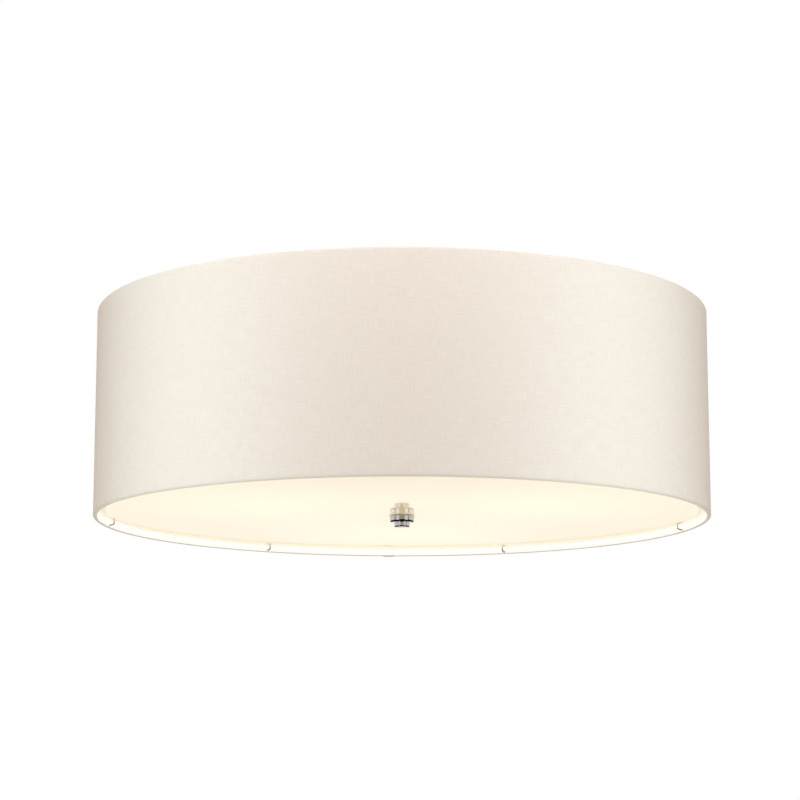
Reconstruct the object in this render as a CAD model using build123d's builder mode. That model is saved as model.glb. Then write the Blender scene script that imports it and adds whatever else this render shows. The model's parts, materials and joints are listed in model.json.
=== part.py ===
from build123d import *
from math import atan2, cos, degrees, pi, radians, sin, sqrt, tan
import os

# A flush mount ceiling light: a linen drum shade on a pressed ceiling pan, three lamps inside,
# and an opal disc held up by a finial. Lengths are in millimetres. The ceiling is the plane
# z = 0 and everything hangs below it, on the vertical axis of the shade.

# ---------------------------------------------------------------- driving dimensions

# Shade
shade_radius = 300.0
shade_height = 202.0
shade_gap = 6.0
linen_thickness = 0.5
liner_thickness = 0.3
ring_wire = 2.5
ring_gap = 0.25
hem_turn = 270.0

# Ceiling strap
strap_length = 200.0
strap_width = 25.0
strap_sheet = 2.0
strap_flat = 124.0
strap_joggle = 8.0
strap_corner = 5.0
slot_spacing = 70.0
slot_length = 30.0
slot_width = 5.5
cable_hole_radius = 10.0

# Ceiling pan
pan_radius = 150.0
pan_depth = 28.0
pan_sheet = 1.2
pan_flange = 5.0
pan_draft = 6.0
pan_shelf = 22.0
pan_step_height = 6.0
pan_step_run = 4.0
pan_bend = 3.0
vent_margin = 17.0
vent_count = 3
vent_length = 24.0
vent_width = 5.0
vent_spread = 12.0

# Screws that join the pan to the strap
pan_screw_reach = 85.0
pan_screw_radius = 2.0
pan_screw_head_radius = 4.2
pan_screw_crown_radius = 2.9
pan_screw_head_height = 2.6
pan_screw_end_gap = 2.0

# Rod and its fittings
rod_radius = 5.0
rod_bore_radius = 3.5
rod_top_gap = 14.0
nut_flats = 14.0
nut_height = 4.0
washer_radius = 10.0
washer_thickness = 1.2

# Shade hub and arms
hub_drop = 104.0
hub_radius = 24.0
hub_flat_radius = 19.0
hub_sheet = 2.0
hub_dish = 3.0
arm_wire = 4.0
arm_count = 3
arm_level_run = 18.0
arm_landing = 12.0
arm_bend = 12.0
arm_angle = 30.0

# Lamps, lampholders and brackets
lamp_count = 3
lamp_angle = 90.0
lamp_drop = 66.0
holder_back = 48.0
holder_mouth = 90.0
holder_radius = 19.0
holder_neck_radius = 14.5
holder_neck_length = 12.0
holder_collar_radius = 20.5
holder_collar_length = 4.0
holder_taper = 3.0
holder_edge = 1.0
holder_floor = 12.0
stub_length = 12.0
stub_radius = 4.9
sleeve_radius = 13.9
sleeve_wall = 0.5
sleeve_setback = 3.0
bracket_width = 24.0
bracket_sheet = 1.5
bracket_foot = 28.0
bracket_tail = 12.0
bracket_bend = 2.0
bracket_corner = 8.0
rivet_radius = 2.0
rivet_head_radius = 3.6
rivet_head_height = 1.1
rivet_spread = 14.0
holder_nut_height = 3.0
cap_radius = 13.1
cap_stand_out = 2.0
cap_taper = 3.0
cap_wall = 0.8
pellet_radius = 4.8
pellet_height = 1.2
pellet_chamfer = 0.4
pellet_gap = 4.4
glass_radius = 30.0
glass_neck_radius = 13.6
glass_neck_length = 49.0
glass_wall = 1.0
contact_strip = 0.6
contact_width = 6.0
contact_length = 18.0
contact_foot = 7.0
contact_tip = 4.0
contact_root = 1.8

# Leads and bushes
lead_radius = 2.2
riser_radius = 24.0
riser_bend = 8.0
lead_bend = 16.0
lead_swing = 32.0
lead_drop = 16.0
bush_wall = 1.8
bush_lip = 2.0
bush_lip_height = 1.2

# Terminal block and earth terminal
block_edge_gap = 2.8
block_depth = 18.0
block_pitch = 12.0
block_poles = 4
block_base = 4.0
block_tab = 9.0
barrel_radius = 5.0
block_entry_depth = 2.5
well_radius = 2.2
well_depth = 4.0
well_spread = 8.0
terminal_screw_radius = 2.1
terminal_screw_height = 2.4
block_screw_radius = 1.5
block_screw_head_radius = 2.8
earth_margin = 17.0
earth_angle = 55.0
earth_stud_radius = 2.0
earth_stud_height = 12.0
earth_stud_chamfer = 0.5
earth_nut_flats = 7.0
earth_nut_height = 3.2
earth_tag_radius = 4.5
earth_tag_sheet = 0.8
earth_barrel_length = 9.0
earth_lead_run = 24.0
earth_lead_bend = 10.0

# Disc and its lugs
disc_edge_gap = 8.45
disc_thickness = 3.0
disc_recess = 5.5
disc_chamfer = 0.5
disc_hole_radius = 7.0
disc_bush_lip = 3.0
disc_bush_lip_height = 1.2
lug_wire = 1.5
lug_count = 7
lug_angle = 16.5
lug_play = 2.2
lug_reach = 8.0
lug_bend = 1.2
lug_rise = 1.0
lug_foot = 1.2

# Finial
finial_radius = 12.0
finial_height = 6.2
finial_tip_radius = 7.6
finial_tip_height = 4.8
finial_edge = 0.5
finial_round = 1.8
finial_tip_round = 1.2
finial_washer_radius = 10.0
finial_washer_thickness = 0.6
insert_wall = 1.8
insert_length = 8.5
rod_engagement = 7.5

# Clearances
running_gap = 0.05
loose_gap = 0.3
weld_gap = 0.05

# ---------------------------------------------------------------- places worked out from them

shade_top = -shade_gap
shade_bottom = shade_top - shade_height
hem_radius = (2 * linen_thickness + liner_thickness + ring_wire) / 2 + ring_gap
hem_centre = shade_radius - hem_radius
top_ring_level = shade_top - hem_radius
bottom_ring_level = shade_bottom + hem_radius
liner_inside = shade_radius - linen_thickness - liner_thickness
ring_centre = liner_inside - ring_gap - ring_wire / 2
ring_inside = ring_centre - ring_wire / 2

disc_radius = ring_inside - disc_edge_gap
disc_underside = shade_bottom + disc_recess
disc_top = disc_underside + disc_thickness
rod_end = disc_underside - finial_washer_thickness - rod_engagement

pan_floor = pan_sheet - pan_depth
wall_foot = pan_radius - pan_flange - pan_draft
shelf_inside = wall_foot - pan_shelf
floor_edge = shelf_inside - pan_step_run
vent_radius = floor_edge - vent_margin
earth_reach = floor_edge - earth_margin
hub_top = -hub_drop
lamp_level = -lamp_drop
lead_level = -lead_drop
holder_floor_reach = holder_back + holder_floor
pellet_reach = holder_floor_reach + contact_strip + pellet_gap
cap_end = holder_mouth + cap_stand_out
rivet_reach = holder_back + bracket_foot / 2
block_width = block_pitch * block_poles
block_centre_x = block_pitch / 2
block_corner_x = block_centre_x + block_width / 2
block_back = sqrt((floor_edge - block_edge_gap) ** 2 - block_corner_x**2)
block_front = block_back - block_depth
block_middle = block_back - block_depth / 2
block_tab_x = block_centre_x - block_width / 2 - block_tab / 2


def polar(radius, angle, height):
    """Point at a distance from the shade's axis, in a direction and at a height."""
    return (radius * cos(radians(angle)), radius * sin(radians(angle)), height)


def radial_plane(angle):
    """Upright plane through the shade's axis: its x runs outward and its y runs up."""
    return Plane(origin=(0, 0, 0), x_dir=polar(1, angle, 0), z_dir=polar(1, angle - 90, 0))


def pole_x(pole):
    """Where a pole of the terminal block lies along its length."""
    return block_centre_x + (pole - (block_poles - 1) / 2) * block_pitch


os.makedirs("parts", exist_ok=True)

# ---------------------------------------------------------------- ceiling strap and pan

# The strap's middle lies on the ceiling. Its ends step down, so the screws' tips have room.
bend_shift = strap_sheet * tan(pi / 8)
with BuildPart() as mounting_strap:
    with BuildSketch(Plane.XZ):
        with BuildLine():
            Polyline(
                (0, 0),
                (strap_flat / 2, 0),
                (strap_flat / 2 + strap_joggle, -strap_joggle),
                (strap_length / 2, -strap_joggle),
                (strap_length / 2, -strap_joggle - strap_sheet),
                (strap_flat / 2 + strap_joggle - bend_shift, -strap_joggle - strap_sheet),
                (strap_flat / 2 - bend_shift, -strap_sheet),
                (0, -strap_sheet),
            )
            mirror(about=Plane.YZ)
        make_face()
    extrude(amount=strap_width / 2, both=True)
    fillet(mounting_strap.edges().filter_by(Axis.Z).group_by(SortBy.LENGTH)[0], strap_corner)
    with BuildSketch(Plane.XY):
        Circle(cable_hole_radius)
        with GridLocations(slot_spacing, 0, 2, 1):
            SlotOverall(slot_length, slot_width)
        with GridLocations(2 * pan_screw_reach, 0, 2, 1):
            Circle(pan_screw_radius + running_gap)
    extrude(amount=-strap_joggle - strap_sheet, mode=Mode.SUBTRACT)
mounting_strap.part.label = "mounting_strap"
export_step(mounting_strap.part, "parts/mounting_strap.step")

# The pan is one pressing: a flange on the ceiling, a drafted wall, a shelf and a deeper floor.
shelf_underside = -pan_depth + pan_step_height
with BuildPart() as ceiling_pan:
    with BuildSketch(Plane.XZ):
        with BuildLine():
            outer_line = FilletPolyline(
                (rod_radius + loose_gap, -pan_depth),
                (floor_edge, -pan_depth),
                (shelf_inside, shelf_underside),
                (wall_foot, shelf_underside),
                (pan_radius - pan_flange, -pan_sheet),
                (pan_radius, -pan_sheet),
                radius=pan_bend,
            )
            inner_line = FilletPolyline(
                (rod_radius + loose_gap, -pan_depth + pan_sheet),
                (floor_edge - pan_sheet / 2, -pan_depth + pan_sheet),
                (shelf_inside - pan_sheet / 2, shelf_underside + pan_sheet),
                (wall_foot - pan_sheet, shelf_underside + pan_sheet),
                (pan_radius - pan_flange - pan_sheet, 0),
                (pan_radius, 0),
                radius=pan_bend - pan_sheet,
            )
            Line(outer_line @ 0, inner_line @ 0)
            Line(outer_line @ 1, inner_line @ 1)
        make_face()
    revolve(axis=Axis.Z)
    with BuildSketch(Plane.XY.offset(-pan_depth)):
        with GridLocations(2 * pan_screw_reach, 0, 2, 1):
            Circle(pan_screw_radius + loose_gap)
        with PolarLocations(riser_radius, lamp_count, lamp_angle):
            Circle(lead_radius + bush_wall + running_gap)
        with PolarLocations(rivet_reach, lamp_count, lamp_angle):
            with GridLocations(0, rivet_spread, 1, 2):
                Circle(rivet_radius + running_gap)
        for sector in range(lamp_count):
            first_vent = arm_angle + sector * 360 / lamp_count - vent_spread * (vent_count - 1) / 2
            with PolarLocations(vent_radius, vent_count, first_vent, vent_count * vent_spread):
                SlotOverall(vent_length, vent_width)
        with Locations((block_tab_x, block_middle)):
            Circle(block_screw_radius + running_gap)
    extrude(amount=pan_sheet, mode=Mode.SUBTRACT)
ceiling_pan.part.label = "ceiling_pan"
export_step(ceiling_pan.part, "parts/ceiling_pan.step")

# The two screws come up through the pan into the strap's stepped ends.
with BuildPart() as pan_screw:
    with BuildSketch(Plane.XZ):
        with BuildLine():
            Polyline(
                (0, -pan_depth - pan_screw_head_height),
                (pan_screw_crown_radius, -pan_depth - pan_screw_head_height),
                (pan_screw_head_radius, -pan_depth),
                (pan_screw_radius, -pan_depth),
                (pan_screw_radius, -pan_screw_end_gap),
                (0, -pan_screw_end_gap),
                close=True,
            )
        make_face()
    revolve(axis=Axis.Z)
with BuildPart() as pan_screws:
    with GridLocations(2 * pan_screw_reach, 0, 2, 1):
        add(pan_screw.part)
pan_screws.part.label = "pan_screws"
export_step(pan_screws.part, "parts/pan_screws.step")

# A rubber bush is a spool: a lip on each side of the pan's floor and a barrel in the hole.
with BuildPart() as lead_bush:
    with BuildSketch(Plane.XZ):
        with BuildLine():
            Polyline(
                (lead_radius + running_gap, -pan_depth - bush_lip_height),
                (lead_radius + bush_wall + bush_lip, -pan_depth - bush_lip_height),
                (lead_radius + bush_wall + bush_lip, -pan_depth),
                (lead_radius + bush_wall, -pan_depth),
                (lead_radius + bush_wall, pan_floor),
                (lead_radius + bush_wall + bush_lip, pan_floor),
                (lead_radius + bush_wall + bush_lip, pan_floor + bush_lip_height),
                (lead_radius + running_gap, pan_floor + bush_lip_height),
                close=True,
            )
        make_face()
    revolve(axis=Axis.Z)
with BuildPart() as lead_bushes:
    with PolarLocations(riser_radius, lamp_count, lamp_angle):
        add(lead_bush.part)
lead_bushes.part.label = "lead_bushes"
export_step(lead_bushes.part, "parts/lead_bushes.step")

# ---------------------------------------------------------------- rod, nuts and washers


def hexagon_nut(flats, height, bore_radius):
    """Six-sided nut that stands on the plane z = 0."""
    with BuildPart() as nut:
        with BuildSketch():
            RegularPolygon(flats / 2, 6, major_radius=False)
            Circle(bore_radius, mode=Mode.SUBTRACT)
        extrude(amount=height)
    return nut.part


rod_top = -rod_top_gap
with BuildPart() as centre_rod:
    with BuildSketch(Plane.XY.offset(rod_end)):
        Circle(rod_radius)
        Circle(rod_bore_radius, mode=Mode.SUBTRACT)
    extrude(amount=rod_top - rod_end)
centre_rod.part.label = "centre_rod"
export_step(centre_rod.part, "parts/centre_rod.step")

with BuildPart() as rod_washers:
    for seat in (pan_floor, -pan_depth - washer_thickness):
        with BuildSketch(Plane.XY.offset(seat)):
            Circle(washer_radius)
            Circle(rod_radius + running_gap, mode=Mode.SUBTRACT)
        extrude(amount=washer_thickness)
rod_washers.part.label = "rod_washers"
export_step(rod_washers.part, "parts/rod_washers.step")

rod_nut = hexagon_nut(nut_flats, nut_height, rod_radius + running_gap)
with BuildPart() as rod_nuts:
    with Locations(
        (0, 0, pan_floor + washer_thickness),
        (0, 0, -pan_depth - washer_thickness - nut_height),
    ):
        add(rod_nut)
rod_nuts.part.label = "rod_nuts"
export_step(rod_nuts.part, "parts/rod_nuts.step")

with BuildPart() as hub_nuts:
    with Locations((0, 0, hub_top), (0, 0, hub_top - hub_sheet - nut_height)):
        add(rod_nut)
hub_nuts.part.label = "hub_nuts"
export_step(hub_nuts.part, "parts/hub_nuts.step")

# ---------------------------------------------------------------- shade frame

# The hub is a dished washer: a flat that the nuts clamp, with a turned-down edge.
with BuildPart() as shade_hub:
    with BuildSketch(Plane.XZ):
        with BuildLine():
            Polyline(
                (rod_radius + loose_gap, hub_top),
                (hub_flat_radius, hub_top),
                (hub_radius, hub_top - hub_dish),
                (hub_radius, hub_top - hub_dish - hub_sheet),
                (hub_flat_radius - hub_sheet / 2, hub_top - hub_sheet),
                (rod_radius + loose_gap, hub_top - hub_sheet),
                close=True,
            )
        make_face()
    revolve(axis=Axis.Z)
shade_hub.part.label = "shade_hub"
export_step(shade_hub.part, "parts/shade_hub.step")

# Each arm leaves the top ring level, drops to the hub and lands flat on it.
arm_top_end = ring_inside - weld_gap
arm_seat_level = hub_top + arm_wire / 2 + weld_gap
with BuildPart() as spider_arm:
    with BuildLine(Plane.XZ) as arm_route:
        FilletPolyline(
            (arm_top_end, top_ring_level),
            (arm_top_end - arm_level_run, top_ring_level),
            (hub_radius + arm_landing, arm_seat_level),
            (arm_landing, arm_seat_level),
            radius=arm_bend,
        )
    with BuildSketch(Plane(origin=arm_route.line @ 0, z_dir=arm_route.line % 0)):
        Circle(arm_wire / 2)
    sweep()
with BuildPart() as spider_arms:
    with PolarLocations(0, arm_count, arm_angle):
        add(spider_arm.part)
spider_arms.part.label = "spider_arms"
export_step(spider_arms.part, "parts/spider_arms.step")


def wire_ring(level):
    """Ring of round wire that stiffens one edge of the shade."""
    with BuildPart() as ring:
        with BuildSketch(Plane.XZ):
            with Locations((ring_centre, level)):
                Circle(ring_wire / 2)
        revolve(axis=Axis.Z)
    return ring


top_ring = wire_ring(top_ring_level)
top_ring.part.label = "top_ring"
export_step(top_ring.part, "parts/top_ring.step")

bottom_ring = wire_ring(bottom_ring_level)
bottom_ring.part.label = "bottom_ring"
export_step(bottom_ring.part, "parts/bottom_ring.step")

# A lug is bent from square wire: in from the bottom ring, up beside the disc's edge and in over
# its top.
lug_riser = disc_radius + lug_play + lug_wire / 2
lug_top_level = disc_top + loose_gap + lug_wire / 2
with BuildPart() as disc_lug:
    with BuildSketch(Plane.XZ):
        with BuildLine():
            FilletPolyline(
                (ring_inside - weld_gap, bottom_ring_level),
                (ring_inside - lug_foot, bottom_ring_level),
                (lug_riser, bottom_ring_level + lug_rise),
                (lug_riser, lug_top_level),
                (disc_radius - lug_reach, lug_top_level),
                radius=lug_bend,
            )
        trace(line_width=lug_wire)
    extrude(amount=lug_wire / 2, both=True)
with BuildPart() as disc_lugs:
    with PolarLocations(0, lug_count, lug_angle):
        add(disc_lug.part)
disc_lugs.part.label = "disc_lugs"
export_step(disc_lugs.part, "parts/disc_lugs.step")

# ---------------------------------------------------------------- shade skin

with BuildPart() as shade_liner:
    with BuildSketch(Plane.XY.offset(bottom_ring_level)):
        Circle(liner_inside + liner_thickness)
        Circle(liner_inside, mode=Mode.SUBTRACT)
    extrude(amount=top_ring_level - bottom_ring_level)
shade_liner.part.label = "shade_liner"
export_step(shade_liner.part, "parts/shade_liner.step")

# The linen is one skin: a straight wall whose edges roll round both rings. Each roll is snipped
# from its free edge where an arm or a lug reaches its ring.
linen_middle = shade_radius - linen_thickness / 2
with BuildPart() as shade_linen:
    with BuildSketch(Plane.XZ):
        with BuildLine():
            roll = hem_radius - linen_thickness / 2
            CenterArc((hem_centre, top_ring_level), roll, 0, hem_turn)
            Line((linen_middle, top_ring_level), (linen_middle, bottom_ring_level))
            CenterArc((hem_centre, bottom_ring_level), roll, 0, -hem_turn)
        trace(line_width=linen_thickness)
    revolve(axis=Axis.Z)
    for count, first, level, wire, edge in (
        (arm_count, arm_angle, top_ring_level, arm_wire, Align.MAX),
        (lug_count, lug_angle, bottom_ring_level, lug_wire, Align.MIN),
    ):
        snip_width = wire + 2 * loose_gap
        snip_angle = degrees(snip_width / ring_centre)
        snip_start = level + snip_width / 2 if edge == Align.MAX else level - snip_width / 2
        for number in range(count):
            with BuildSketch(radial_plane(first + number * 360 / count - snip_angle / 2)):
                with Locations((liner_inside, snip_start)):
                    Rectangle(2 * hem_radius, 2 * hem_radius, align=(Align.MAX, edge))
            revolve(axis=Axis.Z, revolution_arc=snip_angle, mode=Mode.SUBTRACT)
shade_linen.part.label = "shade_linen"
export_step(shade_linen.part, "parts/shade_linen.step")

# ---------------------------------------------------------------- lampholders and brackets

lamp_axis = Axis((0, 0, lamp_level), (1, 0, 0))
lamp_plane = Plane(origin=(0, 0, lamp_level), x_dir=(1, 0, 0), z_dir=(0, -1, 0))

# The bracket is an angle: its foot is riveted under the pan, its flange carries the holder.
with BuildPart() as bracket:
    with BuildSketch(Plane.XZ):
        with BuildLine():
            Polyline(
                (holder_back - bracket_sheet, -pan_depth),
                (holder_back + bracket_foot, -pan_depth),
                (holder_back + bracket_foot, -pan_depth - bracket_sheet),
                (holder_back, -pan_depth - bracket_sheet),
                (holder_back, lamp_level - bracket_tail),
                (holder_back - bracket_sheet, lamp_level - bracket_tail),
                close=True,
            )
        make_face()
    extrude(amount=bracket_width / 2, both=True)
    inner_bend = bracket.edges().filter_by(Axis.Y).sort_by_distance(
        (holder_back, 0, -pan_depth - bracket_sheet)
    )[0]
    fillet(inner_bend, bracket_bend)
    outer_bend = bracket.edges().filter_by(Axis.Y).sort_by_distance(
        (holder_back - bracket_sheet, 0, -pan_depth)
    )[0]
    fillet(outer_bend, bracket_bend + bracket_sheet)
    fillet(bracket.edges().filter_by(Axis.X).group_by(Axis.Z)[0], bracket_corner)
    with BuildSketch(Plane.YZ.offset(holder_back - bracket_sheet)):
        with Locations((0, lamp_level)):
            Circle(stub_radius + running_gap)
    extrude(amount=bracket_sheet, mode=Mode.SUBTRACT)
    with BuildSketch(Plane.XY.offset(-pan_depth)):
        with Locations((rivet_reach, 0)):
            with GridLocations(0, rivet_spread, 1, 2):
                Circle(rivet_radius + running_gap)
    extrude(amount=-bracket_sheet, mode=Mode.SUBTRACT)

with BuildPart() as rivet:
    with BuildSketch(Plane.XZ):
        with BuildLine():
            Polyline(
                (0, pan_floor + rivet_head_height),
                (rivet_radius, pan_floor + rivet_head_height),
                (rivet_head_radius, pan_floor),
                (rivet_radius, pan_floor),
                (rivet_radius, -pan_depth - bracket_sheet),
                (rivet_head_radius, -pan_depth - bracket_sheet),
                (rivet_radius, -pan_depth - bracket_sheet - rivet_head_height),
                (0, -pan_depth - bracket_sheet - rivet_head_height),
                close=True,
            )
        make_face()
    revolve(axis=Axis.Z)
with BuildPart() as bracket_rivets:
    with PolarLocations(rivet_reach, lamp_count, lamp_angle):
        with GridLocations(0, rivet_spread, 1, 2):
            add(rivet.part)
bracket_rivets.part.label = "bracket_rivets"
export_step(bracket_rivets.part, "parts/bracket_rivets.step")

# The holder is turned about the lamp's axis: a hollow stub, a neck, a body and a collar.
with BuildPart() as holder:
    with BuildSketch(lamp_plane):
        with BuildLine():
            Polyline(
                (holder_back - stub_length, lead_radius + running_gap),
                (holder_back - stub_length, stub_radius),
                (holder_back, stub_radius),
                (holder_back, holder_neck_radius),
                (holder_back + holder_neck_length, holder_neck_radius),
                (holder_back + holder_neck_length + holder_taper, holder_radius),
                (holder_mouth - holder_collar_length, holder_radius),
                (holder_mouth - holder_collar_length, holder_collar_radius),
                (holder_mouth, holder_collar_radius),
                (holder_mouth, sleeve_radius),
                (holder_floor_reach, sleeve_radius),
                (holder_floor_reach, lead_radius + running_gap),
                close=True,
            )
        make_face()
    revolve(axis=lamp_axis)
    neck_rims = holder.edges().filter_by(GeomType.CIRCLE).sort_by_distance(
        (holder_back, 0, lamp_level + holder_neck_radius)
    )
    fillet(neck_rims[0], holder_edge)

with BuildPart() as sleeve:
    with BuildSketch(lamp_plane):
        with Locations((holder_floor_reach + contact_strip, sleeve_radius - sleeve_wall)):
            Rectangle(
                holder_mouth - sleeve_setback - holder_floor_reach - contact_strip,
                sleeve_wall,
                align=(Align.MIN, Align.MIN),
            )
    revolve(axis=lamp_axis)

# The centre contact is one strip: a base on the holder's floor and a tongue that springs out.
contact_base = holder_floor_reach + contact_strip
tongue_reach = pellet_reach - loose_gap
with BuildPart() as contact:
    with BuildSketch(lamp_plane):
        with Locations((holder_floor_reach, 0)):
            Rectangle(contact_strip, contact_length, align=(Align.MIN, Align.CENTER))
        with BuildLine():
            Polyline(
                (contact_base, -contact_foot),
                (tongue_reach, 0),
                (tongue_reach, contact_tip),
                (tongue_reach - contact_strip, contact_tip),
                (tongue_reach - contact_strip, contact_strip),
                (contact_base, contact_root - contact_foot),
                close=True,
            )
        make_face()
    extrude(amount=contact_width / 2, both=True)

# ---------------------------------------------------------------- lamps

# The glass is a sphere on a neck: a hollow arc joins the two, tangent to both.
glass_centre = cap_end + glass_neck_length
neck_arc = (
    glass_neck_length**2 + glass_neck_radius**2 - glass_radius**2
) / (2 * (glass_radius - glass_neck_radius))
join_share = neck_arc / (neck_arc + glass_radius)
join_x = cap_end + glass_neck_length * join_share
join_y = (glass_neck_radius + neck_arc) * (1 - join_share)
neck_turn = atan2(glass_neck_length, glass_neck_radius + neck_arc) / 2
sphere_turn = (pi - atan2(join_y, glass_centre - join_x)) / 2
neck_middle = (
    cap_end + neck_arc * sin(neck_turn),
    glass_neck_radius + neck_arc * (1 - cos(neck_turn)),
)
sphere_middle = (
    glass_centre + glass_radius * cos(sphere_turn),
    glass_radius * sin(sphere_turn),
)
with BuildPart() as lamp_glass:
    with BuildSketch(lamp_plane):
        with BuildLine():
            Line((cap_end, 0), (cap_end, glass_neck_radius))
            ThreePointArc((cap_end, glass_neck_radius), neck_middle, (join_x, join_y))
            ThreePointArc((join_x, join_y), sphere_middle, (glass_centre + glass_radius, 0))
            Line((glass_centre + glass_radius, 0), (cap_end, 0))
        make_face()
        mirror(about=Plane.XZ)
        offset(amount=-glass_wall, mode=Mode.SUBTRACT)
        split(bisect_by=Plane.XZ, keep=Keep.BOTTOM)
    revolve(axis=lamp_axis)

cap_shoulder = pellet_reach + pellet_height + cap_taper
with BuildPart() as lamp_cap:
    with BuildSketch(lamp_plane):
        with BuildLine():
            Polyline(
                (pellet_reach + pellet_height, 0),
                (pellet_reach + pellet_height, pellet_radius),
                (cap_shoulder, cap_radius),
                (cap_end, cap_radius),
                (cap_end, cap_radius - cap_wall),
                (cap_shoulder, cap_radius - cap_wall),
                (pellet_reach + pellet_height + cap_wall, pellet_radius),
                (pellet_reach + pellet_height + cap_wall, 0),
                close=True,
            )
        make_face()
    revolve(axis=lamp_axis)

with BuildPart() as lamp_contact:
    with BuildSketch(Plane.YZ.offset(pellet_reach)):
        with Locations((0, lamp_level)):
            Circle(pellet_radius)
    extrude(amount=pellet_height)
    chamfer(lamp_contact.edges().group_by(Axis.X)[0], pellet_chamfer)

holder_nut_flat = hexagon_nut(nut_flats, holder_nut_height, stub_radius + running_gap)
holder_nut_seat = Plane(
    origin=(holder_back - bracket_sheet, 0, lamp_level), z_dir=(-1, 0, 0)
)
with BuildPart() as holder_nut:
    with Locations(holder_nut_seat):
        add(holder_nut_flat)
with BuildPart() as holder_nuts:
    with PolarLocations(0, lamp_count, lamp_angle):
        add(holder_nut.part)
holder_nuts.part.label = "holder_nuts"
export_step(holder_nuts.part, "parts/holder_nuts.step")

# One set of lamp pieces for each place round the rod.
lamp_pieces = (
    ("lamp_bracket", bracket.part),
    ("holder_body", holder.part),
    ("holder_sleeve", sleeve.part),
    ("holder_contact", contact.part),
    ("lamp_glass", lamp_glass.part),
    ("lamp_cap", lamp_cap.part),
    ("lamp_contact", lamp_contact.part),
)
for number in range(1, lamp_count + 1):
    place = Rotation(0, 0, lamp_angle + (number - 1) * 360 / lamp_count)
    for name, piece in lamp_pieces:
        with BuildPart() as placed:
            with Locations(place):
                add(piece)
        placed.part.label = f"{name}_{number}"
        export_step(placed.part, f"parts/{name}_{number}.step")

# ---------------------------------------------------------------- terminal block and leads

# The block is a base with a round barrel over each pole. Leads enter its front, towards the rod.
barrel_level = lead_level
with BuildPart() as terminal_block:
    with BuildSketch(Plane.XZ.offset(-block_back)):
        with Locations((block_centre_x - block_tab / 2, pan_floor)):
            Rectangle(block_width + block_tab, block_base, align=(Align.CENTER, Align.MIN))
        for pole in range(block_poles):
            with Locations((pole_x(pole), barrel_level)):
                Circle(barrel_radius)
            with Locations((pole_x(pole), pan_floor)):
                Rectangle(
                    2 * barrel_radius,
                    barrel_level - pan_floor,
                    align=(Align.CENTER, Align.MIN),
                )
    extrude(amount=block_depth)
    with BuildSketch(Plane.XZ.offset(-block_front)):
        with Locations((block_centre_x, barrel_level)):
            with GridLocations(block_pitch, 0, block_poles, 1):
                Circle(lead_radius + running_gap)
    extrude(amount=-block_entry_depth, mode=Mode.SUBTRACT)
    with BuildSketch(Plane.XY.offset(barrel_level + barrel_radius)):
        with Locations((block_centre_x, block_middle)):
            with GridLocations(block_pitch, well_spread, block_poles, 2):
                Circle(well_radius)
    extrude(amount=-well_depth, mode=Mode.SUBTRACT)
    with BuildSketch(Plane.XY.offset(pan_floor)):
        with Locations((block_tab_x, block_middle)):
            Circle(block_screw_radius + running_gap)
    extrude(amount=block_base, mode=Mode.SUBTRACT)
terminal_block.part.label = "terminal_block"
export_step(terminal_block.part, "parts/terminal_block.step")

with BuildPart() as terminal_screws:
    with BuildSketch(Plane.XY.offset(barrel_level + barrel_radius - well_depth)):
        with Locations((block_centre_x, block_middle)):
            with GridLocations(block_pitch, well_spread, block_poles, 2):
                Circle(terminal_screw_radius)
    extrude(amount=terminal_screw_height)
terminal_screws.part.label = "terminal_screws"
export_step(terminal_screws.part, "parts/terminal_screws.step")

with BuildPart() as block_screw:
    with BuildSketch(Plane.XZ):
        with BuildLine():
            Polyline(
                (0, pan_floor + block_base + block_screw_radius),
                (block_screw_radius, pan_floor + block_base + block_screw_radius),
                (block_screw_head_radius, pan_floor + block_base),
                (block_screw_radius, pan_floor + block_base),
                (block_screw_radius, -pan_depth - bracket_sheet),
                (0, -pan_depth - bracket_sheet - block_screw_radius),
                close=True,
            )
        make_face()
    revolve(axis=Axis.Z)
with BuildPart() as block_screw_placed:
    with Locations((block_tab_x, block_middle)):
        add(block_screw.part)
block_screw_placed.part.label = "block_screw"
export_step(block_screw_placed.part, "parts/block_screw.step")


def round_lead(points, bends):
    """Round lead of one radius along straight runs joined by tangent arcs."""
    with BuildPart() as lead:
        with BuildLine() as route:
            FilletPolyline(*points, radius=bends)
        with BuildSketch(Plane(origin=route.line @ 0, z_dir=route.line % 0)):
            Circle(lead_radius)
        sweep()
    return lead.part


# Each lead leaves its holder's stub, rises through its bush and runs to the block. The first
# bush is in line with its pole, and the other two leads swing across to theirs.
lead_poles = (1, 0, 2)
with BuildPart() as lamp_leads:
    for number in range(lamp_count):
        angle = lamp_angle + number * 360 / lamp_count
        riser = polar(riser_radius, angle, lead_level)
        entry_x = pole_x(lead_poles[number])
        points = [
            polar(holder_floor_reach, angle, lamp_level),
            polar(riser_radius, angle, lamp_level),
            riser,
        ]
        bends = [riser_bend, riser_bend]
        if number > 0:
            points.append((riser[0], block_front - lead_bend - lead_swing, lead_level))
            points.append((entry_x, block_front - lead_bend, lead_level))
            bends += [lead_bend, lead_bend]
        points.append((entry_x, block_front + block_entry_depth, lead_level))
        add(round_lead(points, bends))
lamp_leads.part.label = "lamp_leads"
export_step(lamp_leads.part, "parts/lamp_leads.step")

# ---------------------------------------------------------------- earth terminal

# A stud on the pan's floor holds a ring tag under a nut. The tag's barrel points away from
# the block, and its lead turns back to the block's last pole.
earth_centre = polar(earth_reach, earth_angle, pan_floor)
earth_place = Plane(origin=earth_centre, x_dir=(0, -1, 0), z_dir=(0, 0, 1))
with BuildPart() as earth_stud:
    with BuildSketch(earth_place):
        Circle(earth_stud_radius)
    extrude(amount=earth_stud_height)
    chamfer(earth_stud.edges().group_by(Axis.Z)[-1], earth_stud_chamfer)
earth_stud.part.label = "earth_stud"
export_step(earth_stud.part, "parts/earth_stud.step")

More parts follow.
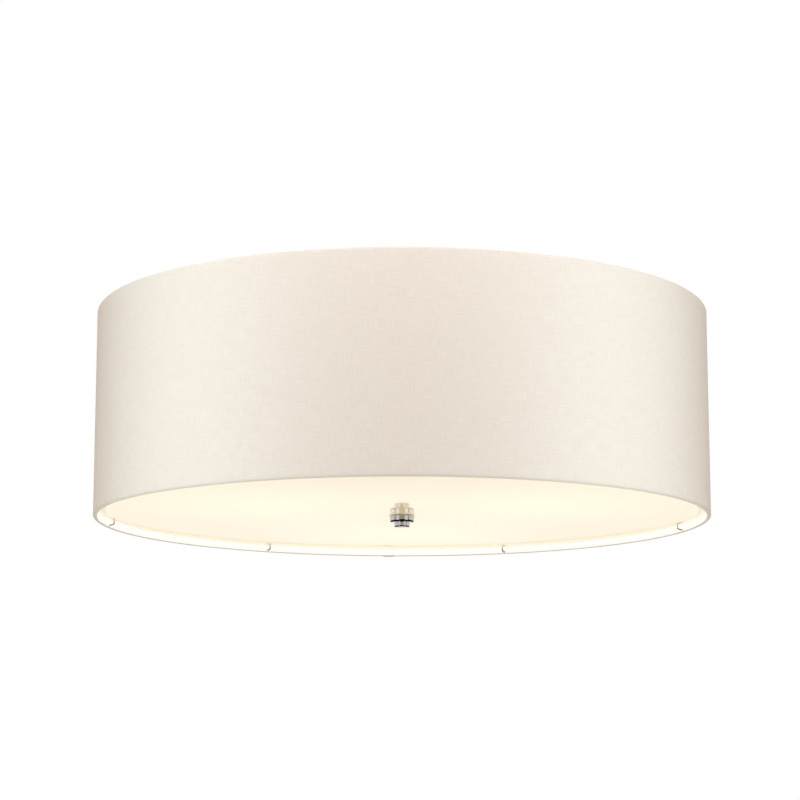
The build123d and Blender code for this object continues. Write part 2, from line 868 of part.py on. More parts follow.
with BuildPart() as earth_tag:
    with BuildSketch(earth_place):
        Circle(earth_tag_radius)
        with Locations((earth_tag_radius, 0)):
            Rectangle(earth_barrel_length, earth_tag_radius)
        Circle(earth_stud_radius + running_gap, mode=Mode.SUBTRACT)
    extrude(amount=earth_tag_sheet)
earth_tag.part.label = "earth_tag"
export_step(earth_tag.part, "parts/earth_tag.step")

earth_hexagon = hexagon_nut(earth_nut_flats, earth_nut_height, earth_stud_radius + running_gap)
with BuildPart() as earth_nut:
    with Locations(earth_place.offset(earth_tag_sheet)):
        add(earth_hexagon)
earth_nut.part.label = "earth_nut"
export_step(earth_nut.part, "parts/earth_nut.step")

earth_lead_level = pan_floor + earth_tag_sheet + lead_radius + running_gap
earth_start_y = earth_centre[1] - earth_tag_radius
with BuildPart() as earth_lead:
    earth_route = round_lead(
        [
            (earth_centre[0], earth_start_y, earth_lead_level),
            (earth_centre[0], earth_start_y - earth_lead_run, earth_lead_level),
            (pole_x(block_poles - 1), earth_start_y - earth_lead_run, lead_level),
            (pole_x(block_poles - 1), block_front + block_entry_depth, lead_level),
        ],
        earth_lead_bend,
    )
    add(earth_route)
earth_lead.part.label = "earth_lead"
export_step(earth_lead.part, "parts/earth_lead.step")

# ---------------------------------------------------------------- disc

# The opal disc has a bushed hole, so that it drops straight down the rod.
disc_bush_bore = rod_radius + loose_gap
with BuildPart() as diffuser:
    with BuildSketch(Plane.XY.offset(disc_underside)):
        Circle(disc_radius)
        Circle(disc_hole_radius, mode=Mode.SUBTRACT)
    extrude(amount=disc_thickness)
    chamfer(diffuser.edges().filter_by(GeomType.CIRCLE).group_by(SortBy.RADIUS)[-1], disc_chamfer)
diffuser.part.label = "diffuser"
export_step(diffuser.part, "parts/diffuser.step")

with BuildPart() as diffuser_bush:
    with BuildSketch(Plane.XZ):
        with BuildLine():
            Polyline(
                (disc_bush_bore, disc_underside),
                (disc_hole_radius - running_gap, disc_underside),
                (disc_hole_radius - running_gap, disc_top),
                (disc_hole_radius + disc_bush_lip, disc_top),
                (disc_hole_radius + disc_bush_lip, disc_top + disc_bush_lip_height),
                (disc_bush_bore, disc_top + disc_bush_lip_height),
                close=True,
            )
        make_face()
    revolve(axis=Axis.Z)
diffuser_bush.part.label = "diffuser_bush"
export_step(diffuser_bush.part, "parts/diffuser_bush.step")

# ---------------------------------------------------------------- finial

finial_top = disc_underside - finial_washer_thickness
insert_bore = rod_radius + running_gap
insert_radius = insert_bore + insert_wall
insert_end = finial_top - insert_length
with BuildPart() as finial_washer:
    with BuildSketch(Plane.XY.offset(finial_top)):
        Circle(finial_washer_radius)
        Circle(rod_radius + loose_gap, mode=Mode.SUBTRACT)
    extrude(amount=finial_washer_thickness)
finial_washer.part.label = "finial_washer"
export_step(finial_washer.part, "parts/finial_washer.step")

with BuildPart() as finial_insert:
    with BuildSketch(Plane.XY.offset(insert_end)):
        Circle(insert_radius)
        Circle(insert_bore, mode=Mode.SUBTRACT)
    extrude(amount=insert_length)
finial_insert.part.label = "finial_insert"
export_step(finial_insert.part, "parts/finial_insert.step")

# The cap is turned in two steps, rounded below, and bored from above for its insert.
tip_top = finial_top - finial_height
tip_end = tip_top - finial_tip_height
with BuildPart() as finial_cap:
    with BuildSketch(Plane.XZ) as finial_section:
        with BuildLine():
            Polyline(
                (0, tip_end),
                (finial_tip_radius, tip_end),
                (finial_tip_radius, tip_top),
                (finial_radius, tip_top),
                (finial_radius, finial_top),
                (insert_radius, finial_top),
                (insert_radius, insert_end),
                (0, insert_end),
                close=True,
            )
        make_face()
        for corner, rounding in (
            ((finial_tip_radius, tip_end), finial_tip_round),
            ((finial_radius, tip_top), finial_round),
            ((finial_radius, finial_top), finial_edge),
        ):
            fillet(finial_section.vertices().sort_by_distance(corner)[0], rounding)
    revolve(axis=Axis.Z)
finial_cap.part.label = "finial_cap"
export_step(finial_cap.part, "parts/finial_cap.step")
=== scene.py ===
# %% [markdown]
# # A linen drum light that hangs flush with the ceiling
#
# The maker's model of this light is already built at real size: the pan, the rod, the lamps, the
# disc and the shade. This lesson dresses it. Each piece either keeps its modelled shape and gets
# a procedural finish, or is replaced by a finer mesh that stands in exactly the same place.

# %% Load the frame
import json
from collections import namedtuple
from math import atan2, cos, pi, radians, sin, sqrt, tan

import bmesh
import bpy
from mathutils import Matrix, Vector


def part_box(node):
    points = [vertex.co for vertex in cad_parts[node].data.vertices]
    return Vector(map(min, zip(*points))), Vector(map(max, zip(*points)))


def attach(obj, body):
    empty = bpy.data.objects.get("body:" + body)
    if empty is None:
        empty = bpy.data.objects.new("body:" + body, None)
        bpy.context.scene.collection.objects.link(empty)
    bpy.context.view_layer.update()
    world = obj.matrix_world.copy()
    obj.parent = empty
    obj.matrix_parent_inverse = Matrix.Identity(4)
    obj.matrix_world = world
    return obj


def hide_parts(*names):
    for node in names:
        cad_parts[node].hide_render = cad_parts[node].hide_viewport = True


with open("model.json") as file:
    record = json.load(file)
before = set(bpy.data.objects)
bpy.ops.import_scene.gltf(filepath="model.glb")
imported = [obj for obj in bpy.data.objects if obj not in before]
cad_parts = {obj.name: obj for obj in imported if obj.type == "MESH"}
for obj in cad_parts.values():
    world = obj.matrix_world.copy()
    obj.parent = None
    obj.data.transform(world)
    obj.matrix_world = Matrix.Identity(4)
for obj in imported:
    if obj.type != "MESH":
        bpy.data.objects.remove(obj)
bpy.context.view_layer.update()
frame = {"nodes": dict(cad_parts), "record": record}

MM = 0.001
nodes = frame["nodes"]
scene = bpy.context.scene
scene.view_settings.view_transform = "Standard"


def in_mm(lengths):
    """Lengths in millimetres, rounded so that they print well."""
    return [round(length / MM, 1) for length in lengths]


# %% [markdown]
# ## Colours, nodes and objects
#
# Colours are written as the hex values that a picture shows, so one function turns them into
# the linear values that a renderer works in. One more function adds any shader node: its
# settings are keyword words, and its inputs are numbers, other nodes or their outputs. The last
# two clear a node tree and put a mesh, a lamp or a camera into the scene.

# %% Helpers for colours, nodes and objects


def linear(hex_colour):
    """Linear red, green, blue and alpha of an sRGB hex colour."""
    parts = [int(hex_colour[i : i + 2], 16) / 255 for i in (0, 2, 4)]
    return [c / 12.92 if c <= 0.04045 else ((c + 0.055) / 1.055) ** 2.4 for c in parts] + [1.0]


def feed(tree, node, inputs):
    """Sets or links a node's inputs. A node that is given as a value means its first output."""
    for socket, value in inputs.items():
        if isinstance(value, bpy.types.Node):
            value = value.outputs[0]
        if isinstance(value, bpy.types.NodeSocket):
            tree.links.new(value, node.inputs[socket])
        else:
            node.inputs[socket].default_value = value


def add(tree, kind, inputs=None, **settings):
    """Adds one node of a kind. inputs maps a socket's name or number to what feeds it."""
    made = tree.nodes.new(kind)
    for setting, value in settings.items():
        setattr(made, setting, value)
    feed(tree, made, inputs or {})
    return made


def bare_tree(owner):
    """The emptied node tree of a material or a world."""
    owner.use_nodes = True
    owner.node_tree.nodes.clear()
    return owner.node_tree


def place(name, data):
    """A new object in the scene, made from a mesh, a lamp or a camera."""
    made = bpy.data.objects.new(name, data)
    scene.collection.objects.link(made)
    return made


print("a mid grey of hex 808080 is", round(linear("808080")[0], 4), "in linear light")

# %% [markdown]
# ## The camera
#
# A product photograph is matched by its camera first. The two rims of the drum are ellipses in
# the picture. Their widths and heights give the distance, the tilt and the lens. The camera
# stands below the shade and looks up at it by about ten degrees.

# %% Camera
picture_side_px = 800
focal_length_px = 2411.2
drum_axis_px = 402.0
sensor_width_mm = 36.0
camera_back = 2342.2 * MM
camera_below_rim = 304.8 * MM
camera_tilt = radians(10.29)

shade_low, shade_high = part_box("shade_linen")
camera_data = bpy.data.cameras.new("camera")
camera_data.sensor_width = sensor_width_mm
camera_data.lens = focal_length_px / picture_side_px * sensor_width_mm
camera_data.shift_x = (picture_side_px / 2 - drum_axis_px) / picture_side_px
camera = place("camera", camera_data)
camera.location = (0, -camera_back, shade_low.z - camera_below_rim)
camera.rotation_euler = (pi / 2 + camera_tilt, 0, 0)
scene.camera = camera
print("lens", round(camera_data.lens, 1), "mm, camera at", in_mm(camera.location), "mm")

# %% [markdown]
# ## The studio
#
# The photograph has a pure white background, two tall softboxes in front of the shade to the
# left and right, and less light from behind. A picture of a room could light the scene, but a
# few plain values are easier to match. The white that the camera and the mirrors see is
# separate from the light that reaches the cloth, so the background stays white while the cloth
# keeps its colour.

# %% World
ambient_front = 0.84
ambient_back = 0.26
front_tint = "fff8f2"
back_tint = "ffd09e"
white = (1, 1, 1, 1)


def seen_share(tree, camera_share=1.0):
    """One for rays that mirrors and glass send out, a share for the camera's rays, else zero."""
    path = add(tree, "ShaderNodeLightPath").outputs
    sharp = {0: path["Is Glossy Ray"], 1: path["Is Transmission Ray"]}
    direct = {0: path["Is Camera Ray"], 1: camera_share}
    both = {
        0: add(tree, "ShaderNodeMath", direct, operation="MULTIPLY"),
        1: add(tree, "ShaderNodeMath", sharp, operation="MAXIMUM"),
    }
    return add(tree, "ShaderNodeMath", both, operation="MAXIMUM")


def studio_world():
    """A white backdrop, and a soft fill that is weaker and warmer behind the light."""
    world = bpy.data.worlds.new("studio")
    scene.world = world
    tree = bare_tree(world)
    direction = add(tree, "ShaderNodeTexCoord").outputs["Generated"]
    forward = add(tree, "ShaderNodeSeparateXYZ", {0: direction}).outputs["Y"]
    backward = add(tree, "ShaderNodeMapRange", {"Value": forward, "From Min": -1, "From Max": 1})
    front, back = [
        add(tree, "ShaderNodeBackground", {"Color": linear(tint), "Strength": level})
        for tint, level in ((front_tint, ambient_front), (back_tint, ambient_back))
    ]
    fill = add(tree, "ShaderNodeMixShader", {0: backward, 1: front, 2: back})
    backdrop = add(tree, "ShaderNodeBackground", {"Color": white, "Strength": 1.0})
    sky = add(tree, "ShaderNodeMixShader", {0: seen_share(tree), 1: fill, 2: backdrop})
    add(tree, "ShaderNodeOutputWorld", {"Surface": sky})


studio_world()
print("ambient light", ambient_front, "in front and", ambient_back, "behind")

# %% [markdown]
# The light hangs in the air, so a wide sheet of pale paper lies far below it and takes its soft
# shadow. For the camera the paper is partly white by itself and partly lit. Mirrors see it fully
# white, or the polished disc would be darker wherever it shows the paper. Its underside is
# clear, so that the light can also be looked at from below.

# %% Floor
floor_drop = 750 * MM
floor_reach = 20000 * MM
floor_sides = 96
floor_white = 0.75


def studio_floor():
    """A round sheet of pale paper below the light."""
    mesh = bpy.data.meshes.new("floor")
    shape = bmesh.new()
    bmesh.ops.create_circle(shape, cap_ends=True, radius=floor_reach, segments=floor_sides)
    bmesh.ops.translate(shape, verts=shape.verts, vec=(0, 0, -floor_drop))
    shape.to_mesh(mesh)
    shape.free()
    floor = place("floor", mesh)
    paper = bpy.data.materials.new("white_paper")
    tree = bare_tree(paper)
    matt = add(tree, "ShaderNodeBsdfDiffuse", {"Color": linear("f4f3f1")})
    glow = add(tree, "ShaderNodeEmission", {"Color": white, "Strength": 1.0})
    share = seen_share(tree, floor_white)
    sheet = add(tree, "ShaderNodeMixShader", {0: share, 1: matt, 2: glow})
    underside = add(tree, "ShaderNodeNewGeometry").outputs["Backfacing"]
    clear = add(tree, "ShaderNodeBsdfTransparent")
    mixed = add(tree, "ShaderNodeMixShader", {0: underside, 1: sheet, 2: clear})
    add(tree, "ShaderNodeOutputMaterial", {"Surface": mixed})
    mesh.materials.append(paper)


studio_floor()
print("floor", floor_drop / MM, "mm below the ceiling")

# %% [markdown]
# Two tall softboxes stand only half a metre from the shade's axis. A lamp that is so near fades
# fast round a curved surface, and so gives the two soft lobes of the photograph. A small boom
# light in front evens the middle, and a large lamp lights the back of the cloth. That one is
# hidden from mirrors, because the disc would show it as a white rectangle.

# %% Softboxes
shade_middle = -110 * MM


def softbox(name, angle, distance, height, width, tall, power, colour="ffffff"):
    """A rectangular lamp that faces the shade. Lengths are in metres, power is in watts, and the
    angle is round the shade's axis from the camera's side, in degrees."""
    lamp = bpy.data.lights.new(name, "AREA")
    lamp.shape = "RECTANGLE"
    lamp.size = width
    lamp.size_y = tall
    lamp.energy = power
    lamp.color = linear(colour)[:3]
    stand = place(name, lamp)
    stand.location = (distance * sin(radians(angle)), -distance * cos(radians(angle)), height)
    aim = Vector((0, 0, shade_middle)) - stand.location
    stand.rotation_euler = aim.to_track_quat("-Z", "Y").to_euler()
    stand.visible_camera = False
    return stand


tall_box = {"distance": 0.55, "height": shade_middle, "width": 0.3, "tall": 1.0}
softbox("softbox_left", angle=-42, power=1.00, colour="e9faff", **tall_box)
softbox("softbox_right", angle=42, power=1.01, colour="ebfbff", **tall_box)
small_box = {"distance": 0.5, "height": 0.3, "width": 0.3, "tall": 0.3}
softbox("boom_light", angle=0, power=0.58, colour="fffaf4", **small_box)
wide_box = {"distance": 2.0, "height": 0.1, "width": 0.9, "tall": 1.2}
back_light = softbox("back_light", angle=180, power=22.0, **wide_box)
back_light.visible_glossy = False

# %% [markdown]
# Polished metal shows the room it stands in. In the photograph the finial shows a grey room in
# front of it, cut by the two softboxes, and a dark table below it. Three cards stand in for that
# room: a grey one in front, a dark one below it and a dark table. Only mirrors see them. They
# are hidden from the camera, throw no shadow and give no light.

# %% Cards for the mirrors
card_radius = 2600 * MM
card_half_angle = 75
card_floor = -750 * MM
card_split = -200 * MM
card_top = 1600 * MM
table_level = -450 * MM
table_centre = 1 * MM
table_radius = 1300 * MM
card_step = 5
table_step = 10


def mirror_card(name, inner, outer, angles, colour):
    """A glowing band between two (radius, height) arcs, that only mirrors can see."""
    rows = [
        [(radius * sin(radians(a)), -radius * cos(radians(a)), height) for a in angles]
        for radius, height in (inner, outer)
    ]
    count = len(angles)
    faces = [(k, k + 1, k + 1 + count, k + count) for k in range(count - 1)]
    mesh = bpy.data.meshes.new(name)
    mesh.from_pydata(rows[0] + rows[1], [], faces)
    card = place(name, mesh)
    paint = bpy.data.materials.new(name)
    tree = bare_tree(paint)
    paint.cycles.emission_sampling = "NONE"
    glow = add(tree, "ShaderNodeEmission", {"Color": linear(colour), "Strength": 1.0})
    add(tree, "ShaderNodeOutputMaterial", {"Surface": glow})
    mesh.materials.append(paint)
    for ray in ("camera", "diffuse", "shadow", "transmission", "volume_scatter"):
        setattr(card, "visible_" + ray, False)


in_front = range(-card_half_angle, card_half_angle + 1, card_step)
all_round = range(0, 361, table_step)
bottom, split, top = [(card_radius, height) for height in (card_floor, card_split, card_top)]
centre, edge = [(radius, table_level) for radius in (table_centre, table_radius)]
for name, inner, outer, angles, colour in (
    ("grey_card", split, top, in_front, "b4b4b7"),
    ("dark_card", bottom, split, in_front, "1c1c20"),
    ("dark_table", centre, edge, all_round, "101014"),
):
    mirror_card(name, inner, outer, angles, colour)
    print(name, "seen by mirrors only, in hex", colour)

# %% [markdown]
# ## The linen skin
#
# The skin is bleached linen laminated to a stiff liner. It is one flat strip that is bent into
# a drum, lapped at the back and rolled round a wire ring at each edge. A plain cylinder would
# have neither the lap nor the rolls, so the strip is built as the real one is made. First come
# its sizes, which are read from the modelled shade and its rings.

# %% Sizes of the cloth
UP, DOWN = 1, -1


def middle_level(node):
    """The height of the middle of a ring."""
    low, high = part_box(node)
    return (high.z + low.z) / 2


lower_level = middle_level("bottom_ring")
upper_level = middle_level("top_ring")
cloth_thickness = 0.5 * MM
cloth_radius = shade_high.x - cloth_thickness / 2
hem_radius = lower_level - shade_low.z - cloth_thickness / 2
hem_centre = cloth_radius - hem_radius
lap_width = 10 * MM
lap_ramp = 3 * MM
lap_lift = 0.6 * MM
seam_angle = radians(92)
print("rolls of radius, round rings of radius, in mm:", in_mm((hem_radius, hem_centre)))

# %% [markdown]
# The rolls are snipped where an arm or a lug reaches its ring, as scissors would do it. In the
# mesh a snip is two columns of points close together, with no faces between them. The other
# columns are spaced evenly, and those that would crowd a snip are left out.

# %% Snips
around_steps = 540
crowding = 1.6
snip_gap = 0.3 * MM
arm_wire = 4 * MM
lug_wire = 1.5 * MM
first_arm, arm_count = 30, 3
first_lug, lug_count = 16.5, 7
arm_directions = [radians(first_arm + k * 360 / arm_count) for k in range(arm_count)]
lug_directions = [radians(first_lug + k * 360 / lug_count) for k in range(lug_count)]

Snips = namedtuple("Snips", "first_row end_row directions wire")


def snip_half(wire):
    """Half the angle that a snip takes, to let a wire through."""
    return (wire / 2 + snip_gap) / hem_centre


def is_snipped(angle, row, cuts):
    """Tells whether a cut takes the face of a row at an angle."""
    return any(
        cut.first_row <= row < cut.end_row
        and abs((angle - direction + pi) % (2 * pi) - pi) < snip_half(cut.wire)
        for cut in cuts
        for direction in cut.directions
    )


def strip_angles(cuts, lap):
    """Angles of a strip's columns: even ones, and a close pair at the sides of every snip."""
    turn = 2 * pi + lap / cloth_radius
    angles = {seam_angle + turn * k / around_steps for k in range(around_steps + 1)}
    for cut in cuts:
        half = snip_half(cut.wire)
        for direction in cut.directions:
            middle = direction if direction > seam_angle else direction + 2 * pi
            angles = {a for a in angles if abs(a - middle) > crowding * half}
            angles |= {middle - half, middle + half}
    return sorted(angles)


for snipped, count, wire in (("arms", arm_count, arm_wire), ("lugs", lug_count, lug_wire)):
    print("snips for", count, snipped, "each", in_mm([wire + 2 * snip_gap]), "mm wide")

# %% [markdown]
# A roll is a path of points round its ring. A strip carries its path round the shade and starts
# at the back. With a lap it ends over its own start, where the roll grows to make room for it,
# and without one its ends meet. A Solidify modifier gives the cloth its thickness. The map of
# the cloth is its flat place in millimetres, so that a weave keeps its real size in the rolls.

# %% Rolls and strips


def roll(level, first_turn, last_turn, steps, side, radius=hem_radius):
    """Points of a roll round a ring, from one turn to another in degrees. Zero faces outwards.
    The side is UP where the roll goes over its ring and DOWN where it goes under it."""
    turns = [radians(first_turn + (last_turn - first_turn) * k / steps) for k in range(steps + 1)]
    return [(radius * cos(t), side * radius * sin(t), level) for t in turns]


def lap_growth(angle, lap):
    """How many times larger a roll is where it lies over the strip's own start."""
    over = min(max((angle - seam_angle - 2 * pi) * cloth_radius / lap_ramp + 1, 0), 1)
    return 1 + (lap_lift * over * over * (3 - 2 * over) if lap else 0) / hem_radius


def rolled_strip(name, path, thickness, lap=0.0, cuts=()):
    """A strip that follows a path all round the shade, with its flat length and width."""
    angles = strip_angles(cuts, lap)
    across = [0.0]
    for a, b in zip(path, path[1:]):
        across.append(across[-1] + sqrt((b[0] - a[0]) ** 2 + (b[1] + b[2] - a[1] - a[2]) ** 2))
    mesh = bpy.data.meshes.new(name)
    shape = bmesh.new()
    cloth_map = shape.loops.layers.uv.new("cloth")
    columns = []
    for angle in angles:
        growth = lap_growth(angle, lap)
        column = []
        for out, rise, level in path:
            radius = hem_centre + out * growth
            spot = (radius * cos(angle), radius * sin(angle), level + rise * growth)
            column.append(shape.verts.new(spot))
        columns.append(column)
    for left, right, a, b in zip(columns, columns[1:], angles, angles[1:]):
        for row in range(len(path) - 1):
            if is_snipped((a + b) / 2, row, cuts):
                continue
            face = shape.faces.new((left[row], left[row + 1], right[row + 1], right[row]))
            face.smooth = True
            corners = ((a, row), (a, row + 1), (b, row + 1), (b, row))
            for loop, (turned, reached) in zip(face.loops, corners):
                loop[cloth_map].uv = (turned * cloth_radius / MM, across[reached] / MM)
    loose = [v for v in shape.verts if not v.link_faces]
    bmesh.ops.delete(shape, geom=loose, context="VERTS")
    shape.to_mesh(mesh)
    shape.free()
    strip = place(name, mesh)
    cloth = strip.modifiers.new("thickness", "SOLIDIFY")
    cloth.thickness = thickness
    cloth.offset = 0
    return strip, ((angles[-1] - angles[0]) * cloth_radius, across[-1])


print("a whole turn of a roll takes", in_mm([2 * pi * hem_radius]), "mm of cloth")

# %% [markdown]
# The linen starts below the top ring, goes up and over it to the outside, falls down the wall
# and ends a third of a turn under the bottom ring. Its wall has many rows, so that the faces
# stay near to square.

# %% Linen skin
wall_steps = 40
over_top = roll(upper_level, first_turn=270, last_turn=0, steps=16, side=UP)
wall_drop = (lower_level - upper_level) / wall_steps
wall = [(hem_radius, 0.0, upper_level + wall_drop * k) for k in range(1, wall_steps)]
under_bottom = roll(lower_level, first_turn=0, last_turn=125, steps=8, side=DOWN)
arm_snips = Snips(first_row=0, end_row=12, directions=arm_directions, wire=arm_wire)
skin, skin_size = rolled_strip(
    "linen_skin", over_top + wall + under_bottom, cloth_thickness, lap_width, [arm_snips]
)
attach(skin, "root")
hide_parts("shade_linen")
print("linen strip", in_mm(skin_size), "mm, faces", len(skin.data.polygons))

# %% [markdown]
# The rim that the photograph shows is not linen all the way round. Its underside is a thin, pale
# grey line, and inside that line it is white. So the linen ends under the ring, the white liner
# is rolled in over the ring from inside, and a cotton tape covers the joint.

# %% Rolled liner edge and edging tape
tape_thickness = 0.2 * MM
tape_radius = hem_radius + (cloth_thickness + tape_thickness) / 2

inside_roll = roll(lower_level, first_turn=130, last_turn=270, steps=12, side=DOWN)
lug_snips = Snips(first_row=1, end_row=12, directions=lug_directions, wire=lug_wire)
liner_edge, liner_edge_size = rolled_strip(
    "rolled_liner_edge", inside_roll, cloth_thickness, cuts=[lug_snips]
)
tape_roll = roll(lower_level, first_turn=5, last_turn=135, steps=10, side=DOWN, radius=tape_radius)
tape, tape_size = rolled_strip("edging_tape", tape_roll, tape_thickness, lap_width)
for piece, slot, size in (
    (liner_edge, "shade_liner", liner_edge_size),
    (tape, "linen", tape_size),
):
    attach(piece, "root")
    print(piece.name, in_mm(size), "mm")

# %% [markdown]
# ## The finishes
#
# Each finish starts from what the real piece is made of and how its surface was made. A shader
# gets its plain colour and values first. A pattern of a real size then moves its colour or its
# roughness a little, or raises its surface.

# %% Helpers for finishes
noise_low, noise_high = 0.3, 0.7
wave_texture_turn = 2 * pi / 20
finishes = {}


def material(name, colour, roughness, metallic=0.0, **sockets):
    """A new material with its Principled shader. Words in sockets are its sockets' names."""
    made = bpy.data.materials.new(name)
    made.use_nodes = True
    tree = made.node_tree
    shader = tree.nodes["Principled BSDF"]
    values = {"Base Color": linear(colour), "Roughness": roughness, "Metallic": metallic}
    feed(tree, shader, values)
    feed(tree, shader, {socket.replace("_", " "): value for socket, value in sockets.items()})
    return made, tree, shader


def blotches(tree, size_mm, detail=2.0):
    """Noise whose blotches have a real size on the object."""
    spot = add(tree, "ShaderNodeTexCoord").outputs["Object"]
    scale = 1 / (size_mm * MM)
    return add(tree, "ShaderNodeTexNoise", {"Vector": spot, "Scale": scale, "Detail": detail})


def add_relief(tree, shader, height, depth_mm, strength=0.4):
    """Raises the surface by a height pattern."""
    raised = {"Height": height, "Distance": depth_mm * MM, "Strength": strength}
    feed(tree, shader, {"Normal": add(tree, "ShaderNodeBump", raised)})


def vary_roughness(tree, shader, pattern, smooth, rough):
    """Lets a noise pattern move the roughness between two values."""
    spread = {
        "Value": pattern,
        "From Min": noise_low,
        "From Max": noise_high,
        "To Min": smooth,
        "To Max": rough,
    }
    feed(tree, shader, {"Roughness": add(tree, "ShaderNodeMapRange", spread)})


def colour_between(tree, pattern, dark, pale, low=0.0, high=1.0):
    """A colour that a pattern moves between two hex values."""
    ramp = add(tree, "ShaderNodeValToRGB", {"Fac": pattern})
    for stop, position, colour in zip(ramp.color_ramp.elements, (low, high), (dark, pale)):
        stop.position = position
        stop.color = linear(colour)
    return ramp


def vary_colour(tree, shader, pattern, dark, pale):
    """Lets a noise pattern move the colour between two hex values."""
    ramp = colour_between(tree, pattern, dark, pale, noise_low, noise_high)
    feed(tree, shader, {"Base Color": ramp})


print("noise is used from", noise_low, "to", noise_high, "of its range")

# %% [markdown]
# ### Bleached linen
#
# Linen is a plain weave of flax. Each thread goes over one and under the next, and its width
# wanders, with thick places called slubs. The relief is the weave itself: two sine waves that
# are multiplied give the over and under, and the larger of warp and weft is the surface. Slubs
# are noise that is stretched along the threads, once for each direction.

# %% Weave of the linen
thread_pitch_mm = 0.62
thread_wander_mm = 0.5
wander_length_mm = 9.0


def plain_weave(tree, cloth):
    """The height of a plain weave, from 0 to 1, whose threads wander a little."""
    scale = 1 / wander_length_mm
    wander = add(tree, "ShaderNodeTexNoise", {"Vector": cloth, "Scale": scale, "Detail": 2.0})
    moved = {0: wander.outputs["Color"], 1: (thread_wander_mm,) * 3, 2: cloth}
    shifted = add(tree, "ShaderNodeVectorMath", moved, operation="MULTIPLY_ADD")
    axes = add(tree, "ShaderNodeSeparateXYZ", {0: shifted})
    waves = []
    for axis in ("X", "Y"):
        along = {0: axes.outputs[axis], 1: pi / thread_pitch_mm}
        phase = add(tree, "ShaderNodeMath", along, operation="MULTIPLY")
        waves.append(add(tree, "ShaderNodeMath", {0: phase}, operation="SINE"))
    crossing = add(tree, "ShaderNodeMath", {0: waves[0], 1: waves[1]}, operation="MULTIPLY")
    warp, weft = [
        add(
            tree,
            "ShaderNodeMath",
            {0: add(tree, "ShaderNodeMath", {0: wave}, operation="ABSOLUTE"), 1: crossing},
            operation=over_or_under,
        )
        for wave, over_or_under in zip(waves, ("ADD", "SUBTRACT"))
    ]
    upper = add(tree, "ShaderNodeMath", {0: warp, 1: weft}, operation="MAXIMUM")
    return add(tree, "ShaderNodeMath", {0: upper, 1: 0.5}, operation="MULTIPLY")


print("linen drawn with a thread every", thread_pitch_mm, "mm")

# %% [markdown]
# The cloth is creamy, and a little paler along its slubs. Its colour is darker in the gaps between
# threads, a painted shade for the light that goes in there and doesn't come out. Flax is matt, so
# its mirror shine is turned down.

# %% Linen material
slub_length_mm = 14.0
slub_width_mm = 1.0
slub_low, slub_high = 0.65, 1.35
slub_share = 0.25
gap_low, gap_high = 0.1, 0.6
gap_shade = 0.86
thread_relief_mm = 0.12
cloth_shine = 0.25


def bleached_linen():
    """Plain woven flax: matt, cream, with a fine cross-hatch and darker and paler slubs."""
    made, tree, shader = material("bleached_linen", "eee7de", 0.92, Specular_IOR_Level=cloth_shine)
    cloth = add(tree, "ShaderNodeUVMap", uv_map="cloth")
    weave = plain_weave(tree, cloth)
    slubs = {}
    for k, size in enumerate(((slub_width_mm, slub_length_mm), (slub_length_mm, slub_width_mm))):
        grain = add(tree, "ShaderNodeVectorMath", {0: cloth, 1: (*size, 1)}, operation="DIVIDE")
        slubs[k] = add(tree, "ShaderNodeTexNoise", {"Vector": grain, "Scale": 1.0, "Detail": 1.0})
    slub = add(tree, "ShaderNodeMath", slubs, operation="ADD")
    thick = {"Value": slub, "From Min": slub_low, "From Max": slub_high}
    threads = colour_between(tree, add(tree, "ShaderNodeMapRange", thick), "efe6dd", "f5f0ea")
    # Painted shade: the colour is darkened where the weave is low, in the gaps between threads.
    deep = {"Value": weave, "From Min": gap_low, "From Max": gap_high, "To Min": gap_shade}
    painted_gap_shade = add(tree, "ShaderNodeMapRange", deep)
    tone = add(tree, "ShaderNodeVectorMath", {0: threads, 1: painted_gap_shade}, operation="MULTIPLY")
    feed(tree, shader, {"Base Color": tone})
    raised = add(tree, "ShaderNodeMath", {0: slub, 1: slub_share}, operation="MULTIPLY")
    relief = add(tree, "ShaderNodeMath", {0: weave, 1: raised}, operation="ADD")
    add_relief(tree, shader, relief, thread_relief_mm, strength=0.5)
    return made


skin.data.materials.append(bleached_linen())
print("slubs of", slub_width_mm, "by", slub_length_mm, "mm, relief of", thread_relief_mm, "mm")

# %% [markdown]
# Edging tape is a narrow cotton twill, bleached to a colder white than the linen. Its ribs lean
# across it, and one wave whose bands lie at forty-five degrees gives them. A real twill of this
# weight has ribs a quarter as wide, which would be too fine to show, so they are drawn coarser.

# %% Cotton tape
twill_pitch_mm = 1.8
twill_relief_mm = 0.1


def bleached_cotton_twill():
    """Narrow woven tape: matt, cold white, with leaning ribs."""
    made, tree, shader = material(
        "bleached_cotton_twill", "e6e4dc", 0.9, Specular_IOR_Level=cloth_shine
    )
    cloth = add(tree, "ShaderNodeUVMap", uv_map="cloth")
    scale = wave_texture_turn * sqrt(2) / twill_pitch_mm
    leaning = {"Vector": cloth, "Scale": scale, "Distortion": 0.0}
    ribs = add(tree, "ShaderNodeTexWave", leaning, bands_direction="DIAGONAL").outputs["Fac"]
    feed(tree, shader, {"Base Color": colour_between(tree, ribs, "dfddd4", "eae8e1")})
    add_relief(tree, shader, ribs, twill_relief_mm, strength=0.5)
    return made


tape.data.materials.append(bleached_cotton_twill())
print("tape ribs every", twill_pitch_mm, "mm")

# %% [markdown]
# ## Bent wire, threads and nuts
#
# The lugs that hold the disc are bent from round wire. A wire is a circle carried along a line
# whose corners are rounded to the bend of the tool. A curve object could be bevelled instead,
# but a mesh that is made directly keeps its closed ends and its exact place.

# %% Bent wire


